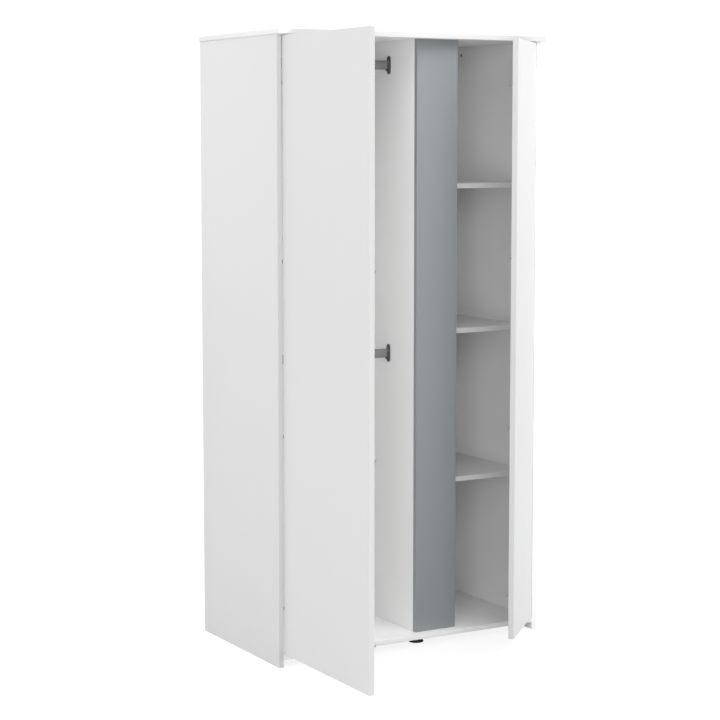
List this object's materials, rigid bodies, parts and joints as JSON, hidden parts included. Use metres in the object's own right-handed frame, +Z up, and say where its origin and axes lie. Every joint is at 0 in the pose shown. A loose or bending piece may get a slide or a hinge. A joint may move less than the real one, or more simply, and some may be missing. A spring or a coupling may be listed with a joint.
{
  "type": "wardrobe",
  "caption": "Tall white wardrobe with two inset hinged doors, a recessed blue-grey centre panel, a hanging compartment with oval rails and a shelved compartment.",
  "frame": {"origin": "on the floor, midway between the side panels, and midway between the open left door's free edge and the back", "axes": "+Z up, +X to the right as seen from the front, -Y towards the viewer"},
  "size_m": [0.993, 1.076, 2],
  "materials": {
    "white_melamine": "white melamine-faced chipboard, fine satin texture, white edge banding",
    "blue_grey_melamine": "blue-grey melamine-faced chipboard, satin",
    "white_hardboard": "thin hardboard, lacquered white",
    "nickel_steel": "nickel-plated pressed steel",
    "rail_steel": "satin grey tube",
    "charcoal_plastic": "dark grey moulded plastic",
    "black_plastic": "black moulded plastic",
    "buffer_plastic": "pale grey soft plastic",
    "cam_zinc": "dark die-cast zinc"
  },
  "bodies": {
    "carcass": {"back_panel_left": "white_hardboard", "back_panel_right": "white_hardboard", "bottom_panel": "white_melamine", "cam_lock_front": "cam_zinc", "cam_lock_rear": "cam_zinc", "centre_panel": "blue_grey_melamine", "divider_panel": "white_melamine", "front_foot": "black_plastic", "left_hinge_arm_1": "nickel_steel", "left_hinge_arm_2": "nickel_steel", "left_hinge_arm_3": "nickel_steel", "left_hinge_arm_4": "nickel_steel", "left_side_panel": "white_melamine", "lower_hanging_rail": "rail_steel", "lower_rail_socket_left": "charcoal_plastic", "lower_rail_socket_right": "charcoal_plastic", "lower_shelf": "white_melamine", "lower_shelf_pin_left_front": "nickel_steel", "lower_shelf_pin_left_rear": "nickel_steel", "lower_shelf_pin_right_front": "nickel_steel", "lower_shelf_pin_right_rear": "nickel_steel", "middle_shelf": "white_melamine", "middle_shelf_pin_left_front": "nickel_steel", "middle_shelf_pin_left_rear": "nickel_steel", "middle_shelf_pin_right_front": "nickel_steel", "middle_shelf_pin_right_rear": "nickel_steel", "rear_foot": "black_plastic", "right_hinge_arm_1": "nickel_steel", "right_hinge_arm_2": "nickel_steel", "right_hinge_arm_3": "nickel_steel", "right_hinge_arm_4": "nickel_steel", "right_side_panel": "white_melamine", "top_panel": "white_melamine", "upper_hanging_rail": "rail_steel", "upper_rail_socket_left": "charcoal_plastic", "upper_rail_socket_right": "charcoal_plastic", "upper_shelf": "white_melamine", "upper_shelf_pin_left_front": "nickel_steel", "upper_shelf_pin_left_rear": "nickel_steel", "upper_shelf_pin_right_front": "nickel_steel", "upper_shelf_pin_right_rear": "nickel_steel"},
    "left_door": {"left_door": "white_melamine", "left_door_buffer_1": "buffer_plastic", "left_door_buffer_2": "buffer_plastic", "left_door_buffer_3": "buffer_plastic", "left_door_buffer_4": "buffer_plastic", "left_hinge_cup_1": "nickel_steel", "left_hinge_cup_2": "nickel_steel", "left_hinge_cup_3": "nickel_steel", "left_hinge_cup_4": "nickel_steel"},
    "right_door": {"right_door": "white_melamine", "right_door_buffer_1": "buffer_plastic", "right_door_buffer_2": "buffer_plastic", "right_door_buffer_3": "buffer_plastic", "right_door_buffer_4": "buffer_plastic", "right_hinge_cup_1": "nickel_steel", "right_hinge_cup_2": "nickel_steel", "right_hinge_cup_3": "nickel_steel", "right_hinge_cup_4": "nickel_steel"}
  },
  "joints": [
    {"name": "left_door_hinge", "type": "hinge", "parent": "carcass", "child": "left_door", "pos_m": [-0.476, -0.009, 1.0115], "axis": [0, 0, -1], "range_deg": [-90, 20]},
    {"name": "right_door_hinge", "type": "hinge", "parent": "carcass", "child": "right_door", "pos_m": [0.476, -0.009, 1.0115], "axis": [0, 0, 1], "range_deg": [-44, 66]}
  ]
}
